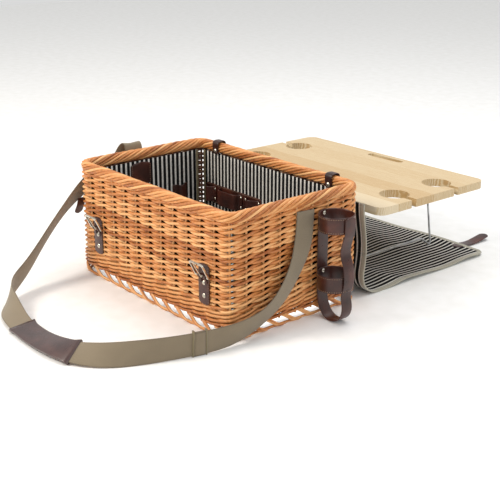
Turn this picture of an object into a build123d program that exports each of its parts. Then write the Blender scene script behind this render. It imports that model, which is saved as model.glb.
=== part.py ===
from build123d import *
import math
import os

# A wicker picnic basket with a striped lining, a leather bottle holder, a shoulder strap,
# a soft cover hinged on its back edge, and the folding pine table that is its hard lid.
# Millimetres. The origin is the middle of the footprint on the ground: +X to the right
# end, +Y to the back, +Z up.

# ---- driving dimensions ----
LENGTH = 578.0  # over the rim, left end to right end
DEPTH = 380.0  # over the rim, front to back
HEIGHT = 280.0
WALL_INSET = 5.0  # the wall stands this far inside the rim and the foot
WALL = 10.0
CORNER = 34.0  # corner radius of the rim seen from above
FOOT_H = 25.0
WALE_TOP = 60.0
RIM_H = 28.0
RIM_W = 22.0
STAKE_PITCH = 46.0
BASE_T = 10.0
LINING = 2.0
CLEAR = 0.3  # gap between moving bodies

LEATHER = 2.5
CLOSURE_X = 204.0
HINGE_W = 28.0
RIVET_R = 5.5
RIVET_H = 2.5

BOTTLE_Y = 69.0
RING_R = 39.0
RING_H = 36.0
RING_BOTTOMS = (205.0, 74.0)
SLING_W = 30.0

STRAP_W = 50.0
STRAP_T = 2.4

COVER_HALF = 284.0
COVER_T = 2.0
COVER_CORNER = 30.0
COVER_PIVOT = (202.0, 223.0)  # y and z of the cover's hinge line under the rim
COVER_NECK = 82.0
COVER_FRONT_LEN = 160.0
COVER_OVER = 419.0  # from the back fold to the front fold once the cover is closed
COVER_BEND = 60.0  # radius of the fold where the cover meets the ground
CLOSING_STRAP = 100.0

BOARD_L = 620.0
BOARD_D = 373.0
BOARD_T = 19.0
BOARD_TOP = 204.0
BOARD_CENTRE = (-22.0, 439.5)
GLASS_R = 36.0
GLASS_SLOT = 15.0
GLASS_FROM_END = 62.0
GLASS_FROM_MIDDLE = 76.0
GRIP = (120.0, 20.0)
WIRE_R = 2.5
LEG_TOP_X = 153.0  # leg pivots each side of the board's middle
LEG_SPLAY = 8.0
LEG_HALF_WIDTH = (152.5, 142.5)  # right frame, left frame, which folds inside the other
FOOT_RETURN = 26.0  # the cross wire sits this far above the feet
FOOT_IN = 33.0

# ---- derived ----
WALL_X = LENGTH / 2 - WALL_INSET
WALL_Y = DEPTH / 2 - WALL_INSET
IN_X = WALL_X - WALL
IN_Y = WALL_Y - WALL
RIM_BOTTOM = HEIGHT - RIM_H
BASE_TOP = FOOT_H + BASE_T
LINING_TOP = RIM_BOTTOM - 2.0
SIDES = {"left": -1, "right": 1}
# The cover's lower fold opens about a line this far in from the corner of its bend.
FOLD_INSET = 0.15 * COVER_BEND
BACK_RUN = COVER_PIVOT[1] - COVER_NECK - CLEAR - COVER_T / 2 - FOLD_INSET
COVER_FOLD_Y = COVER_PIVOT[0] + FOLD_INSET + COVER_OVER - BACK_RUN

os.makedirs("parts", exist_ok=True)


def save(name, shape):
    """Writes one sub-part."""
    shape.label = name
    export_step(shape, f"parts/{name}.step")


def block(x0, x1, y0, y1, z0, z1):
    """A box between two corners."""
    return Pos((x0 + x1) / 2, (y0 + y1) / 2, (z0 + z1) / 2) * Box(x1 - x0, y1 - y0, z1 - z0)


def loop_band(half_x, half_y, radius, thick, z0, z1):
    """An upright band that runs round a rounded rectangle."""
    outer = RectangleRounded(2 * half_x, 2 * half_y, radius)
    inner = RectangleRounded(2 * (half_x - thick), 2 * (half_y - thick), max(radius - thick, 4.0))
    return extrude(Pos(0, 0, z0) * (outer - inner), z1 - z0)


def rivet(centre, normal, radius=RIVET_R, height=RIVET_H):
    """A low domed rivet head, its flat side at centre and its dome along normal."""
    ball = (radius**2 + height**2) / (2 * height)
    dome = Sphere(ball) & Pos(0, 0, ball - height / 2) * Box(3 * ball, 3 * ball, height)
    dome = Pos(0, 0, -(ball - height)) * dome
    return Plane(origin=centre, z_dir=normal) * dome


def joined(shapes):
    """One compound of solids that stand apart."""
    return Compound(children=list(shapes))


# ---- basket body ----
def basket_body():
    radius = CORNER - WALL_INSET
    save("wicker_wall", loop_band(WALL_X, WALL_Y, radius, WALL, WALE_TOP, RIM_BOTTOM))
    save("waling_band", loop_band(WALL_X + 1.5, WALL_Y + 1.5, radius + 1.5, WALL + 1.5, FOOT_H, WALE_TOP))
    rim = loop_band(LENGTH / 2, DEPTH / 2, CORNER, RIM_W, RIM_BOTTOM, HEIGHT)
    save("rim_border", fillet(rim.edges().group_by(Axis.Z)[-1], RIM_W * 0.4))
    base = RectangleRounded(2 * IN_X, 2 * IN_Y, radius - WALL)
    save("wicker_base", extrude(Pos(0, 0, FOOT_H) * base, BASE_T))


def foot_border():
    """The open foot: a ring with a lens-shaped gap between each pair of stake ends."""
    foot = loop_band(LENGTH / 2, DEPTH / 2, CORNER, WALL, 0, FOOT_H)
    gap_z = 0.58 * FOOT_H
    lens = SlotOverall(STAKE_PITCH - 12, 0.5 * FOOT_H)
    for side, along, through in ((LENGTH, (1, 0, 0), (0, 1, 0)), (DEPTH, (0, 1, 0), (1, 0, 0))):
        count = int((side - 1.6 * CORNER) // STAKE_PITCH)
        for i in range(count):
            at = Vector(along) * ((i - (count - 1) / 2) * STAKE_PITCH) + Vector(0, 0, gap_z)
            foot -= extrude(Plane(origin=at, x_dir=along, z_dir=through) * lens, LENGTH, both=True)
    save("foot_border", foot)


def lining():
    gap = 22.0  # each panel stops short of the corners
    bottom = BASE_TOP + LINING
    x_run = IN_X - gap
    y_run = IN_Y - gap
    save("lining_front", block(-x_run, x_run, -IN_Y, -IN_Y + LINING, bottom, LINING_TOP))
    save("lining_back", block(-x_run, x_run, IN_Y - LINING, IN_Y, bottom, LINING_TOP))
    save("lining_left", block(-IN_X, -IN_X + LINING, -y_run, y_run, bottom, LINING_TOP))
    save("lining_right", block(IN_X - LINING, IN_X, -y_run, y_run, bottom, LINING_TOP))
    floor = RectangleRounded(2 * IN_X - 4, 2 * IN_Y - 4, CORNER - WALL_INSET - WALL)
    save("lining_base", extrude(Pos(0, 0, BASE_TOP) * floor, LINING))


# ---- leather on the outside ----
def hinge_straps():
    """Leather loops over the back rim that carry the cover."""
    back = DEPTH / 2
    inner = back - RIM_W
    drop = 36.0
    for side, sign in SIDES.items():
        x0 = sign * CLOSURE_X - HINGE_W / 2
        x1 = x0 + HINGE_W
        top = block(x0, x1, inner - LEATHER, back + LEATHER, HEIGHT, HEIGHT + LEATHER)
        outside = block(x0, x1, back, back + LEATHER, HEIGHT - drop, HEIGHT)
        inside = block(x0, x1, inner - LEATHER, inner, HEIGHT - drop, HEIGHT)
        save(f"hinge_strap_{side}", top + outside + inside)
        z = HEIGHT - 0.6 * drop
        heads = [rivet((sign * CLOSURE_X, back + LEATHER, z), (0, 1, 0))]
        heads.append(rivet((sign * CLOSURE_X, inner - LEATHER, z), (0, -1, 0)))
        save(f"hinge_rivets_{side}", joined(heads))


TAB_Z = (64.0, 154.0)
TAB_W = 36.0
BAR_Z = 127.0
BAR_R = 1.6
BAR_Y = -WALL_Y - LEATHER - 3.6
LUG_R = 3.4
FRAME_W = 46.0
FRAME_H = 40.0
FRAME_T = 4.0
FRAME_TILT = 27.0


def closures():
    """The two front closures: a riveted leather tab, a hinged buckle frame and its prong."""
    face = -WALL_Y
    for side, sign in SIDES.items():
        x = sign * CLOSURE_X
        outline = RectangleRounded(TAB_W, TAB_Z[1] - TAB_Z[0], 7)
        on_wall = Plane(origin=(x, face, sum(TAB_Z) / 2), x_dir=(1, 0, 0), z_dir=(0, -1, 0))
        save(f"closure_tab_{side}", extrude(on_wall * outline, LEATHER))
        heads = [rivet((x, face - LEATHER, z), (0, -1, 0)) for z in (83.0, 112.0)]
        save(f"closure_rivets_{side}", joined(heads))
        along_x = Plane(origin=(x, BAR_Y, BAR_Z), x_dir=(0, 0, 1), z_dir=(1, 0, 0))
        lugs = []
        for lug_x in (-9.0, 9.0):
            lug = along_x * (Pos(0, 0, lug_x) * Cylinder(LUG_R, 9))
            lug += block(x + lug_x - 4.5, x + lug_x + 4.5, BAR_Y, face - LEATHER, BAR_Z - LUG_R, BAR_Z)
            lugs.append(lug - along_x * Cylinder(BAR_R + 0.06, FRAME_W))
        save(f"closure_loop_{side}", joined(lugs))

        plane = Plane(origin=(x, BAR_Y, BAR_Z), x_dir=(1, 0, 0), z_dir=(0, -1, 0))
        tilt = Pos(x, BAR_Y, BAR_Z) * Rot(FRAME_TILT, 0, 0) * Pos(-x, -BAR_Y, -BAR_Z)
        wire = RectangleRounded(FRAME_W, FRAME_H, 6)
        wire -= RectangleRounded(FRAME_W - 2 * FRAME_T, FRAME_H - 2 * FRAME_T, 3)
        wire = extrude(plane * (Pos(0, FRAME_H / 2 - BAR_R) * wire), BAR_R, both=True)
        above_bar = block(x - FRAME_W, x + FRAME_W, BAR_Y - 9, BAR_Y + 9, BAR_Z + 3 * BAR_R, BAR_Z + 2 * FRAME_H)
        frame = (wire & above_bar) + along_x * Cylinder(BAR_R, FRAME_W - FRAME_T)
        for s in (-1, 1):
            leg_x = s * (FRAME_W - FRAME_T) / 2
            frame += along_x * (Pos(0, 0, leg_x) * Cylinder(FRAME_T / 2, FRAME_T))
            frame += block(x + leg_x - FRAME_T / 2, x + leg_x + FRAME_T / 2,
                           BAR_Y - BAR_R, BAR_Y + BAR_R, BAR_Z, BAR_Z + 4 * BAR_R)
        save(f"buckle_{side}", tilt * frame)

        eye = along_x * (Cylinder(3.2, 5) - Cylinder(BAR_R + 0.06, 6))
        reach = FRAME_H - 1
        start = Vector(x, BAR_Y - 2.6, BAR_Z + 1.2)
        pin = Plane(origin=start, z_dir=(0, -0.06, 1)) * (Pos(0, 0, reach / 2 - 1) * Cylinder(1.3, reach - 1))
        save(f"prong_{side}", tilt * (eye + (pin - along_x * Cylinder(BAR_R + 0.5, 6))))


def strip(points, radii, width, thick, across):
    """A leather strip bent along a path of straight runs and arcs; across is its width direction."""
    path = FilletPolyline(*points, radius=radii)
    start = Plane(origin=path @ 0, x_dir=across, z_dir=path % 0)
    return sweep(start * Rectangle(width, thick), path=path)


def bottle_holder():
    """A leather sling on the right end, with two rings that hold a bottle upright."""
    wall_leg = LENGTH / 2 + CLEAR + LEATHER / 2
    x = wall_leg + LEATHER / 2 + RING_R
    out_leg = x + RING_R + LEATHER / 2
    ground = CLEAR + LEATHER / 2
    top = max(RING_BOTTOMS) + RING_H
    corners = [
        (wall_leg, BOTTLE_Y, top),
        (wall_leg, BOTTLE_Y, 58),
        (wall_leg + 30, BOTTLE_Y, ground),
        (out_leg - 14, BOTTLE_Y, ground),
        (out_leg, BOTTLE_Y, 46),
        (out_leg, BOTTLE_Y, top),
    ]
    save("bottle_sling", strip(corners, [26, 18, 22, 26], SLING_W, LEATHER, (0, 1, 0)))
    for name, z in zip(("upper", "lower"), RING_BOTTOMS):
        ring = Cylinder(RING_R, RING_H) - Cylinder(RING_R - LEATHER, 2 * RING_H)
        save(f"bottle_ring_{name}", Pos(x, BOTTLE_Y, z + RING_H / 2) * ring)
    heads = []
    for z in (z + RING_H - 7 for z in RING_BOTTOMS):
        heads.append(rivet((out_leg - 1.5 * LEATHER - 0.4, BOTTLE_Y, z), (-1, 0, 0), 4.5, 2.0))
        heads.append(rivet((wall_leg + 1.5 * LEATHER + 0.4, BOTTLE_Y, z), (1, 0, 0), 4.5, 2.0))
    save("bottle_rivets", joined(heads))


# ---- leather inside ----
def inner_leather():
    face_x = IN_X - LINING
    face_y = IN_Y - LINING
    for side, sign in SIDES.items():
        x0, x1 = sorted((sign * face_x, sign * (face_x - LEATHER)))
        save(f"anchor_patch_{side}", block(x0, x1, sign * 16 - 30, sign * 16 + 30, 186, 246))
    save("cutlery_band", block(-250, -30, face_y - LEATHER, face_y, 118, 168))
    loop_face = face_y - 1.5 * LEATHER
    loops, heads = [], []
    for x0, x1 in ((-248, -206), (-198, -102), (-92, -34)):
        corners = [
            (x0, loop_face, 143),
            (x0 + 10, loop_face, 143),
            (x0 + 13, loop_face - 14, 143),
            (x1 - 13, loop_face - 14, 143),
            (x1 - 10, loop_face, 143),
            (x1, loop_face, 143),
        ]
        loops.append(strip(corners, [3, 3, 3, 3], 40, LEATHER, (0, 0, 1)))
        for x in (x0 + 4, x1 - 4):
            heads += [rivet((x, loop_face - LEATHER / 2, z), (0, -1, 0), 3.2, 1.5) for z in (130, 156)]
    save("cutlery_loops", joined(loops))
    save("cutlery_rivets", joined(heads))
    loop_face = -face_x + LEATHER / 2
    corners = [
        (loop_face, 79, 146),
        (loop_face, 88, 146),
        (loop_face + 14, 92, 146),
        (loop_face + 14, 110, 146),
        (loop_face, 114, 146),
        (loop_face, 123, 146),
    ]
    save("side_loop", strip(corners, [3, 3, 3, 3], 48, LEATHER, (0, 0, 1)))


def side_tongue():
    """A short leather tongue on a ring, at the front of the left end."""
    y = -162.0
    x = -WALL_X - 2.2
    ring = Pos(x - 8, y, 188) * (Rot(90, 0, 0) * Torus(8, 1.6))
    stud = Pos(x + 1.1, y, 188) * (Rot(0, 90, 0) * Cylinder(2, 2.2))
    save("tongue_ring", ring + stud)
    corners = [(x - 13, y - 9, 178), (x - 19, y - 9, 159), (x - 36, y - 9, 134)]
    tail = strip(corners, [30], 22, LEATHER, (0, 1, 0))
    save("side_tongue", tail)


# ---- shoulder strap ----
# Each row is a point of the webbing's middle line and the direction of its upper edge there.
STRAP_ROUTE = [
    ((286.5, 21, 246), (0, -1, 0)),
    ((287, 19, 205), (0, -1, 0)),
    ((292, 8, 170), (0.05, -1, 0.05)),
    ((300, -15, 135), (0.2, -0.85, 0.4)),
    ((305, -42, 101), (0.28, -0.72, 0.63)),
    ((306, -74, 68), (0.35, -0.55, 0.75)),
    ((306, -115, 46), (0.4, -0.3, 0.86)),
    ((304, -156, 34), (0.3, -0.1, 0.95)),
    ((299, -198, 27), (0.1, 0, 1)),
    ((290, -250, 25.8), (0, 0, 1)),
    ((273, -308, 25.6), (0, 0.12, 0.99)),
    ((250, -368, 25.5), (0, 0.4, 0.92)),
    ((213, -426, 22.4), (0, 0.68, 0.73)),
    ((160, -466, 17), (0, 0.82, 0.57)),
    ((105, -478, 14), (0, 0.94, 0.34)),
    ((50, -480, 10.4), (0, 0.98, 0.2)),
    ((-5, -479, 9), (0, 0.99, 0.14)),
    ((-58, -474, 9), (0.1, 0.98, 0.14)),
    ((-106, -466, 12), (0.2, 0.93, 0.3)),
    ((-148, -454, 20), (0.3, 0.7, 0.65)),
    ((-190, -434, 27), (0.25, 0.2, 0.95)),
    ((-226, -402, 34), (0.25, -0.12, 0.96)),
    ((-252, -354, 54), (0.42, -0.25, 0.87)),
    ((-268, -310, 90), (0.56, -0.27, 0.78)),
    ((-284, -266, 126), (0.6, -0.27, 0.75)),
    ((-297, -223, 159), (0.6, -0.28, 0.75)),
    ((-307, -183, 186), (0.5, -0.38, 0.78)),
    ((-314, -143, 209), (0.34, -0.52, 0.78)),
    ((-318, -104, 219), (0.12, -0.68, 0.72)),
    ((-321, -70, 232), (0, -0.82, 0.57)),
    ((-320, -42, 258), (0, -0.96, 0.25)),
    ((-311, -24, 292), (0, -1, 0)),
    ((-296, -20, 290), (0, -1, 0)),
    ((-292, -20, 262), (0, -1, 0)),
    ((-290, -20, 243), (0, -1, 0)),
    ((-286.5, -20, 220), (0, -1, 0)),
]
ROUTE_STEPS = 3  # points of the webbing for each point of its route
PAD_SPAN = (39, 51)  # the webbing's points that the shoulder pad covers
SLIDER_SPAN = (26, 28)


def smooth(points, steps):
    """Points along the quadratic spline whose control points are given."""
    out = [points[0]]
    last = len(points) - 2
    for i in range(1, last + 1):
        a = points[0] if i == 1 else (points[i - 1] + points[i]) * 0.5
        c = points[-1] if i == last else (points[i] + points[i + 1]) * 0.5
        for k in range(1, steps + 1):
            t = k / steps
            out.append(a * (1 - t) ** 2 + points[i] * (2 * t * (1 - t)) + c * t**2)
    return out


def ribbon(middles, edges, width, thick):
    """A flat band through the middles, with its width along the edge directions."""
    rings = []
    for i, (p, up) in enumerate(zip(middles, edges)):
        ahead = middles[min(i + 1, len(middles) - 1)] - middles[max(i - 1, 0)]
        normal = ahead.cross(up).normalized()
        across = normal.cross(ahead).normalized()
        w, t = across * (width / 2), normal * (thick / 2)
        rings.append([p + w + t, p - w + t, p - w - t, p + w - t])
    faces = [Face(Wire.make_polygon(rings[0])), Face(Wire.make_polygon(rings[-1]))]
    for a, b in zip(rings, rings[1:]):
        for k in range(4):
            n = (k + 1) % 4
            faces.append(Face(Wire.make_polygon([a[k], a[n], b[n]])))
            faces.append(Face(Wire.make_polygon([a[k], b[n], b[k]])))
    return Solid(Shell(faces))


def shoulder_strap():
    middle = [Vector(p) for p, _ in STRAP_ROUTE]
    edge = [Vector(u).normalized() for _, u in STRAP_ROUTE]
    line, up = smooth(middle, ROUTE_STEPS), smooth(edge, ROUTE_STEPS)
    save("shoulder_strap", ribbon(line, up, STRAP_W, STRAP_T))
    print("strap length", round(sum((b - a).length for a, b in zip(line, line[1:]))))
    for name, (first, last), width, thick in (
        ("shoulder_pad", PAD_SPAN, 55.0, 8.0),
        ("strap_slider", SLIDER_SPAN, 51.4, 7.0),
    ):
        save(name, ribbon(line[first : last + 1], up[first : last + 1], width, thick))


# ---- soft cover ----
def cover():
    """The soft cover, in four panels, as it lies with the basket open."""
    y0, z0 = COVER_PIVOT
    half = COVER_T / 2
    ground = CLEAR + half
    neck_end = z0 - COVER_NECK
    save("cover_neck", block(-COVER_HALF, COVER_HALF, y0 - half, y0 + half, neck_end + 1, z0 - 1))
    centre = (y0 + COVER_BEND, ground + COVER_BEND)
    down = Line((y0, neck_end), (y0, centre[1])) + CenterArc(centre, COVER_BEND, 180, 44)
    along = CenterArc(centre, COVER_BEND, 226, 44) + Line((centre[0], ground), (COVER_FOLD_Y - 1, ground))
    for name, path in (("cover_back", down), ("cover_top", along)):
        route = Wire((Plane.YZ * path).edges())
        start = Plane(origin=route @ 0, x_dir=(1, 0, 0), z_dir=route % 0)
        save(name, sweep(start * Rectangle(2 * COVER_HALF, COVER_T), path=route))
    edge = COVER_FOLD_Y + COVER_FRONT_LEN
    sheet = extrude(Pos(0, 0, CLEAR) * Pos(0, (COVER_FOLD_Y + 1 + edge) / 2)
                    * Rectangle(2 * COVER_HALF, edge - COVER_FOLD_Y - 1), COVER_T)
    corners = sheet.edges().filter_by(Axis.Z).group_by(Axis.Y)[-1]
    save("cover_front", fillet(corners, COVER_CORNER))
    for side, sign in SIDES.items():
        x0 = sign * CLOSURE_X - 14
        patch = block(x0, x0 + 28, edge - 30, edge + 12, CLEAR + COVER_T, CLEAR + COVER_T + LEATHER)
        tail = block(x0, x0 + 28, edge, edge + CLOSING_STRAP, CLEAR, CLEAR + LEATHER)
        save(f"closing_strap_{side}", patch + tail)


# ---- folding table ----
def table_board():
    cx, cy = BOARD_CENTRE
    outline = Pos(cx, cy, BOARD_TOP - BOARD_T) * RectangleRounded(BOARD_L, BOARD_D, 22)
    board = extrude(outline, BOARD_T)
    mid = BOARD_TOP - BOARD_T / 2
    for end in (-1, 1):
        for row in (-1, 1):
            x = cx + end * (BOARD_L / 2 - GLASS_FROM_END)
            y = cy + row * GLASS_FROM_MIDDLE
            board -= Pos(x, y, mid) * Cylinder(GLASS_R, 2 * BOARD_T)
            board -= Pos(x + end * GLASS_FROM_END, y, mid) * Box(2 * GLASS_FROM_END, GLASS_SLOT, 2 * BOARD_T)
    grip = extrude(Pos(cx, cy + BOARD_D / 2 - 25) * SlotOverall(*GRIP), BOARD_TOP)
    save("table_board", board - Pos(0, 0, BOARD_T) * grip)


def table_legs():
    """Two wire frames that fold in under the board, each held by two clips."""
    cx, cy = BOARD_CENTRE
    under = BOARD_TOP - BOARD_T
    pivot_z = under - 4.0
    foot_z = CLEAR + COVER_T + CLEAR + WIRE_R
    run = (pivot_z - foot_z) / math.cos(math.radians(LEG_SPLAY))
    for (side, sign), half in zip((("right", 1), ("left", -1)), LEG_HALF_WIDTH):
        x = cx + sign * LEG_TOP_X
        corners = [
            (0, -half, 0),
            (0, -half, -run),
            (0, -half + FOOT_IN, -run + FOOT_RETURN),
            (0, half - FOOT_IN, -run + FOOT_RETURN),
            (0, half, -run),
            (0, half, 0),
        ]
        path = FilletPolyline(*corners, radius=[6, 12, 12, 6])
        wire = sweep(Plane(origin=path @ 0, z_dir=path % 0) * Circle(WIRE_R), path=path)
        rod = Rot(90, 0, 0) * Cylinder(WIRE_R, 2 * half)
        ends = [Pos(0, s * half, 0) * Sphere(WIRE_R) for s in (-1, 1)]
        frame = wire + rod + ends[0] + ends[1]
        save(f"leg_frame_{side}", Pos(x, cy, pivot_z) * (Rot(0, -sign * LEG_SPLAY, 0) * frame))
        clips, heads = [], []
        for s in (-1, 1):
            y = cy + s * 0.6 * half
            clip = block(x - 14, x + 14, y - 8, y + 8, under - 3, under)
            clip += block(x - 5, x + 5, y - 8, y + 8, pivot_z - 4.5, under)
            clips.append(clip - Pos(x, y, pivot_z) * (Rot(90, 0, 0) * Cylinder(WIRE_R + 0.06, 30)))
            heads += [rivet((x + k * 9.5, y, under - 3), (0, 0, -1), 3.2, 1.6) for k in (-1, 1)]
        save(f"leg_clips_{side}", joined(clips))
        save(f"clip_screws_{side}", joined(heads))


for step in (basket_body, foot_border, lining, hinge_straps, closures, bottle_holder, inner_leather,
             side_tongue, shoulder_strap, cover, table_board, table_legs):
    step()
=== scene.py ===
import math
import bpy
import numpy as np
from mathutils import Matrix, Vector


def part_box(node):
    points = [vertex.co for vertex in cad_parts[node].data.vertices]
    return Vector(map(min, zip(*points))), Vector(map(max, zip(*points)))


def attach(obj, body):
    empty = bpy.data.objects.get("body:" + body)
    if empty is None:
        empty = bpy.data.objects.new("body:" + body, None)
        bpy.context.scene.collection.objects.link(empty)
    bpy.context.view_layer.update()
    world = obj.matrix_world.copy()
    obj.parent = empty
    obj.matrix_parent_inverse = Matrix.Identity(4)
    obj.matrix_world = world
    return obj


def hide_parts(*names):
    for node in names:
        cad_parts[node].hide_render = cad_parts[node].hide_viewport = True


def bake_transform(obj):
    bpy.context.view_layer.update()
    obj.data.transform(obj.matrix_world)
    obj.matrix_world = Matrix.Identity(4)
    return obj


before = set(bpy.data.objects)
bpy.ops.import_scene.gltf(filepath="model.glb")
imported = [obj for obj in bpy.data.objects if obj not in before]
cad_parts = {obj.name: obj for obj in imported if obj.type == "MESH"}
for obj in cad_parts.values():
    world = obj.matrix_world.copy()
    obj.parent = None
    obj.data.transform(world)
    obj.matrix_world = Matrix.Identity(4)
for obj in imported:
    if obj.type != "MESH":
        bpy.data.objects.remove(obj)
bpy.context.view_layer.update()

# %% [markdown]
# # A wicker picnic basket
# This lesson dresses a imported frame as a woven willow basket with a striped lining, leather
# fittings, a shoulder strap, a soft cover that folds out behind it and a pine lid on wire legs.
# Everything is in metres, in the frame's own axes: +X is the basket's right end, +Y its back.
# Each step says what the real piece is, how it could be made, and why one way was picked.

MM = 0.001
dice = np.random.default_rng(7)
HALF_LENGTH, HALF_DEPTH = 0.289, 0.190     # the basket, to its rim's outer line

# %% [markdown]
# The camera stands off the front right corner, above the rim, and looks a little down. A long
# lens keeps the upright corners nearly parallel, as a catalogue picture of a basket has them.

# %% Camera
camera_data = bpy.data.cameras.new("basket_camera")
camera = bpy.data.objects.new("basket_camera", camera_data)
bpy.context.scene.collection.objects.link(camera)
yaw, pitch = 2.4426, math.radians(-17.85)
camera.location = (1.7681, -1.3769, 0.8803)
look = Vector((math.cos(yaw) * math.cos(pitch), math.sin(yaw) * math.cos(pitch), math.sin(pitch)))
camera.rotation_euler = look.to_track_quat("-Z", "Y").to_euler()
camera_data.lens = 73.19
camera_data.sensor_width = 36
camera_data.shift_y = -0.06
camera_data.clip_end = 50
bpy.context.scene.camera = camera
print("camera looks", [round(c, 3) for c in look])

# %% [markdown]
# Colours are written as sRGB hex values, the way a paint chart gives them, and one function
# turns them to the linear numbers a renderer adds up. A second small function adds any shader
# node with its settings and links, so that each material below reads as a list of what it does.
# A third writes one step of arithmetic, on sockets and plain numbers alike.

# %% Colour and node helpers
def paint(hex_colour, alpha=1.0):
    """An sRGB hex colour as linear RGBA."""
    parts = [int(hex_colour[i:i + 2], 16) / 255 for i in (1, 3, 5)]
    linear = [c / 12.92 if c <= 0.04045 else ((c + 0.055) / 1.055) ** 2.4 for c in parts]
    return (*linear, alpha)


def put(tree, kind, settings=None, links=None):
    """Adds one node, sets its properties or socket values by name, and links its inputs."""
    node = tree.nodes.new(kind)
    for key, value in (settings or {}).items():
        if isinstance(key, str) and hasattr(node, key):
            setattr(node, key, value)
        else:
            node.inputs[key].default_value = value
    for key, socket in (links or {}).items():
        tree.links.new(socket, node.inputs[key])
    return node


def reckon(tree, operation, *terms):
    """One math node on sockets and plain numbers, as its output."""
    numbers = {k: term for k, term in enumerate(terms) if isinstance(term, (int, float))}
    sockets = {k: term for k, term in enumerate(terms) if k not in numbers}
    return put(tree, "ShaderNodeMath", {"operation": operation, **numbers}, sockets).outputs[0]


def new_material(name, settings):
    """A material with one shader on its output, and the shader's constant values set on it."""
    material = bpy.data.materials.new(name)
    material.use_nodes = True
    tree = material.node_tree
    tree.nodes.clear()
    shader = put(tree, "ShaderNodeBsdfPrincipled", settings)
    put(tree, "ShaderNodeOutputMaterial", links={"Surface": shader.outputs[0]})
    return material, tree, shader


def ramp(tree, factor, stops):
    """A colour ramp through (position, hex colour) stops."""
    node = put(tree, "ShaderNodeValToRGB", links={0: factor})
    band = node.color_ramp
    while len(band.elements) < len(stops):
        band.elements.new(0.5)
    for element, (place, colour) in zip(band.elements, stops):
        element.position = place
        element.color = paint(colour)
    return node.outputs["Color"]


def bump(tree, shader, height, strength, distance):
    node = put(tree, "ShaderNodeBump", {"Strength": strength, "Distance": distance}, {"Height": height})
    tree.links.new(node.outputs[0], shader.inputs["Normal"])


# %% [markdown]
# Peeled buff willow is a plant stem boiled in its bark, so its colour runs from pale straw to
# warm orange-brown between rods and a little along each one. It has a thin natural wax, which
# gives a soft satin shine. The rods below carry three numbers: a tone for each rod, the
# distance along it, and how far each point faces inwards. The material mixes the first two with
# noise, and darkens the inner side to stand for the shade between rods.

# %% Buff willow
ROD_STREAK = 0.9 * MM     # width of the fine streaks along a peeled rod
ROD_SHADE = "#3C1A0A"     # the inner side of each rod, which stands for the shade between rods


def willow_material(name, dark, base, light):
    material, tree, shader = new_material(name, {"Roughness": 0.46, "IOR": 1.5, "Coat Weight": 0.12,
                                                 "Coat Roughness": 0.35})
    tone = put(tree, "ShaderNodeAttribute", {"attribute_name": "tone"}).outputs["Fac"]
    along = put(tree, "ShaderNodeAttribute", {"attribute_name": "along"}).outputs["Fac"]
    place = put(tree, "ShaderNodeTexCoord").outputs["Object"]
    at = put(tree, "ShaderNodeCombineXYZ", links={0: along, 1: tone})
    patch = put(tree, "ShaderNodeTexNoise", {"Scale": 14.0, "Detail": 3.0}, {"Vector": at.outputs[0]})
    streak = put(tree, "ShaderNodeTexNoise", {"Scale": 0.12 / ROD_STREAK, "Detail": 4.0}, {"Vector": place})
    mix = reckon(tree, "MULTIPLY_ADD", patch.outputs[0], 0.42, reckon(tree, "MULTIPLY", tone, 0.44))
    mix = reckon(tree, "MULTIPLY_ADD", streak.outputs[0], 0.30, mix)
    colour = ramp(tree, mix, [(0.30, dark), (0.52, base), (0.78, light)])
    deep = put(tree, "ShaderNodeAttribute", {"attribute_name": "deep"}).outputs["Fac"]
    sunk = put(tree, "ShaderNodeMapRange", {1: 0.0, 2: 0.45, 3: 0.0, 4: 0.94}, {0: deep})
    shaded = put(tree, "ShaderNodeMix", {"data_type": "RGBA", 7: paint(ROD_SHADE)},
                 {0: sunk.outputs[0], 6: colour})
    tree.links.new(shaded.outputs[2], shader.inputs["Base Color"])
    bump(tree, shader, streak.outputs[0], 0.25, 0.3 * MM)
    return material


buff_willow = willow_material("buff_willow", "#9C5420", "#D68C4B", "#F0B779")
pale_willow = willow_material("buff_willow_stakes", "#A0602C", "#D0965A", "#E8B67E")
print("willow ready")

# %% [markdown]
# The strap is a loose webbing band, 50 mm wide, that leaves the right end, lies on the ground
# in front and climbs to the left end. It could be a cloth simulation, but a route of points and
# a smooth spline is steadier and gives the same result each time. The spline is a quadratic
# NURBS curve, and the band follows the points that Blender reads off it.

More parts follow.
